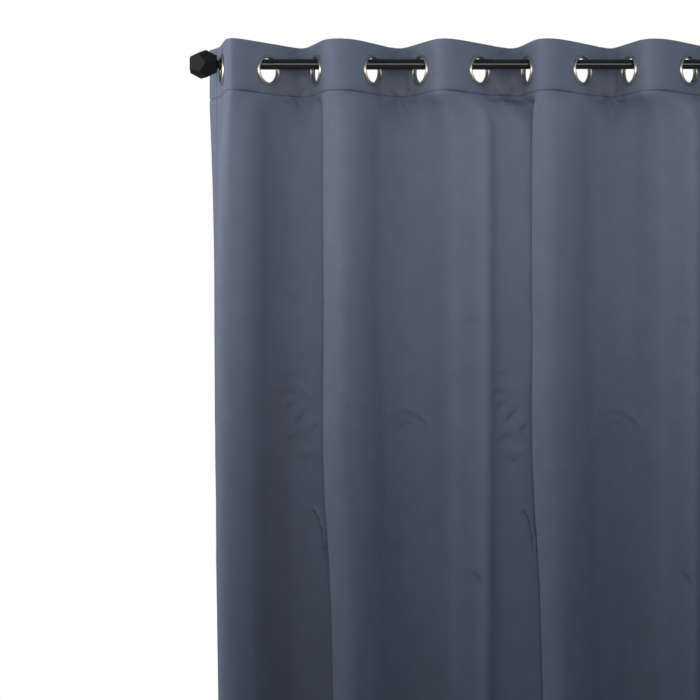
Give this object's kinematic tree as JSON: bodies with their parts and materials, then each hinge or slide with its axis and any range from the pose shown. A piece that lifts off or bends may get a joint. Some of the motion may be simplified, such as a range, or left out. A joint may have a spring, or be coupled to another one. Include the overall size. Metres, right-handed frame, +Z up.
{
  "type": "eyelet curtain panel",
  "caption": "Tall fabric curtain panel hung in soft folds by metal eyelets on a telescopic rod with faceted end knobs.",
  "frame": {"origin": "on the rod axis, half way along the rod", "axes": "+X along the rod, +Y towards the wall behind the panel, +Z up; the front of the panel faces -Y"},
  "size_m": [1.08, 0.1217, 2.2852],
  "materials": {
    "curtain_cloth": "matt, fine woven blackout cloth, slate blue-grey",
    "heading_cloth": "matt, the same cloth doubled over a stiffener",
    "eyelet_metal": "satin pewter",
    "rod_black": "satin black",
    "finial_black": "satin black",
    "fixing_steel": "zinc plated"
  },
  "bodies": {
    "rod": {"rod_outer_tube": "rod_black", "end_plug_left": "fixing_steel", "finial_stud_left": "fixing_steel"},
    "rod_slider": {"rod_inner_tube": "rod_black", "end_plug_right": "fixing_steel", "finial_stud_right": "fixing_steel"},
    "cloth_01": {"heading_01": "heading_cloth", "drape_01": "curtain_cloth", "eyelet_front_01": "eyelet_metal", "eyelet_back_01": "eyelet_metal"},
    "cloth_02": {"heading_02": "heading_cloth", "drape_02": "curtain_cloth", "eyelet_front_02": "eyelet_metal", "eyelet_back_02": "eyelet_metal"},
    "cloth_03": {"heading_03": "heading_cloth", "drape_03": "curtain_cloth", "eyelet_front_03": "eyelet_metal", "eyelet_back_03": "eyelet_metal"},
    "cloth_04": {"heading_04": "heading_cloth", "drape_04": "curtain_cloth", "eyelet_front_04": "eyelet_metal", "eyelet_back_04": "eyelet_metal"},
    "cloth_05": {"heading_05": "heading_cloth", "drape_05": "curtain_cloth", "eyelet_front_05": "eyelet_metal", "eyelet_back_05": "eyelet_metal"},
    "cloth_06": {"heading_06": "heading_cloth", "drape_06": "curtain_cloth", "eyelet_front_06": "eyelet_metal", "eyelet_back_06": "eyelet_metal"},
    "cloth_07": {"heading_07": "heading_cloth", "drape_07": "curtain_cloth", "eyelet_front_07": "eyelet_metal", "eyelet_back_07": "eyelet_metal"},
    "cloth_08": {"heading_08": "heading_cloth", "drape_08": "curtain_cloth", "eyelet_front_08": "eyelet_metal", "eyelet_back_08": "eyelet_metal"},
    "cloth_09": {"heading_09": "heading_cloth", "drape_09": "curtain_cloth", "eyelet_front_09": "eyelet_metal", "eyelet_back_09": "eyelet_metal"},
    "cloth_10": {"heading_10": "heading_cloth", "drape_10": "curtain_cloth", "eyelet_front_10": "eyelet_metal", "eyelet_back_10": "eyelet_metal"},
    "cloth_11": {"heading_11": "heading_cloth", "drape_11": "curtain_cloth", "eyelet_front_11": "eyelet_metal", "eyelet_back_11": "eyelet_metal"},
    "cloth_12": {"heading_12": "heading_cloth", "drape_12": "curtain_cloth", "eyelet_front_12": "eyelet_metal", "eyelet_back_12": "eyelet_metal"},
    "collar_left": {"finial_collar_left": "finial_black"},
    "knob_left": {"finial_knob_left": "finial_black"},
    "collar_right": {"finial_collar_right": "finial_black"},
    "knob_right": {"finial_knob_right": "finial_black"}
  },
  "joints": [
    {"name": "panel_draw", "type": "hinge", "parent": "rod", "child": "cloth_01", "pos_m": [-0.4851, 0, 0], "axis": [0, 0, -1], "range_deg": [0, 33]},
    {"name": "fold_01", "type": "hinge", "parent": "cloth_01", "child": "cloth_02", "pos_m": [-0.44755, -0.03095, 0], "axis": [0, 0, 1], "range_deg": [0, 66]},
    {"name": "fold_02", "type": "hinge", "parent": "cloth_02", "child": "cloth_03", "pos_m": [-0.3691, 0.03372, 0], "axis": [0, 0, -1], "range_deg": [0, 66]},
    {"name": "fold_03", "type": "hinge", "parent": "cloth_03", "child": "cloth_04", "pos_m": [-0.28225, -0.03788, 0], "axis": [0, 0, 1], "range_deg": [0, 66]},
    {"name": "fold_04", "type": "hinge", "parent": "cloth_04", "child": "cloth_05", "pos_m": [-0.1954, 0.03372, 0], "axis": [0, 0, -1], "range_deg": [0, 66]},
    {"name": "fold_05", "type": "hinge", "parent": "cloth_05", "child": "cloth_06", "pos_m": [-0.10605, -0.03994, 0], "axis": [0, 0, 1], "range_deg": [0, 66]},
    {"name": "fold_06", "type": "hinge", "parent": "cloth_06", "child": "cloth_07", "pos_m": [-0.0167, 0.03372, 0], "axis": [0, 0, -1], "range_deg": [0, 66]},
    {"name": "fold_07", "type": "hinge", "parent": "cloth_07", "child": "cloth_08", "pos_m": [0.0693, -0.03718, 0], "axis": [0, 0, 1], "range_deg": [0, 66]},
    {"name": "fold_08", "type": "hinge", "parent": "cloth_08", "child": "cloth_09", "pos_m": [0.1545, 0.03306, 0], "axis": [0, 0, -1], "range_deg": [0, 66]},
    {"name": "fold_09", "type": "hinge", "parent": "cloth_09", "child": "cloth_10", "pos_m": [0.243, -0.0399, 0], "axis": [0, 0, 1], "range_deg": [0, 66]},
    {"name": "fold_10", "type": "hinge", "parent": "cloth_10", "child": "cloth_11", "pos_m": [0.3323, 0.03372, 0], "axis": [0, 0, -1], "range_deg": [0, 66]},
    {"name": "fold_11", "type": "hinge", "parent": "cloth_11", "child": "cloth_12", "pos_m": [0.4183, -0.03718, 0], "axis": [0, 0, 1], "range_deg": [0, 66]},
    {"name": "rod_extend", "type": "slide", "parent": "rod", "child": "rod_slider", "axis": [1, 0, 0], "range_m": [0, 0.2]},
    {"name": "finial_out_left", "type": "slide", "parent": "rod", "child": "collar_left", "axis": [-1, 0, 0], "range_m": [0, 0.0101]},
    {"name": "finial_turn_left", "type": "hinge", "parent": "collar_left", "child": "knob_left", "pos_m": [-0.51757, 0, 0], "axis": [-1, 0, 0], "range_deg": [0, 2880]},
    {"name": "finial_out_right", "type": "slide", "parent": "rod_slider", "child": "collar_right", "axis": [1, 0, 0], "range_m": [0, 0.0101]},
    {"name": "finial_turn_right", "type": "hinge", "parent": "collar_right", "child": "knob_right", "pos_m": [0.51757, 0, 0], "axis": [1, 0, 0], "range_deg": [0, 2880]}
  ],
  "couplings": [
    {"joint": "fold_01", "follows": "panel_draw", "ratio": 2},
    {"joint": "fold_02", "follows": "panel_draw", "ratio": 2},
    {"joint": "fold_03", "follows": "panel_draw", "ratio": 2},
    {"joint": "fold_04", "follows": "panel_draw", "ratio": 2},
    {"joint": "fold_05", "follows": "panel_draw", "ratio": 2},
    {"joint": "fold_06", "follows": "panel_draw", "ratio": 2},
    {"joint": "fold_07", "follows": "panel_draw", "ratio": 2},
    {"joint": "fold_08", "follows": "panel_draw", "ratio": 2},
    {"joint": "fold_09", "follows": "panel_draw", "ratio": 2},
    {"joint": "fold_10", "follows": "panel_draw", "ratio": 2},
    {"joint": "fold_11", "follows": "panel_draw", "ratio": 2},
    {"joint": "finial_out_left", "follows": "finial_turn_left", "m_per_rad": 0.00019894},
    {"joint": "finial_out_right", "follows": "finial_turn_right", "m_per_rad": 0.00019894}
  ]
}
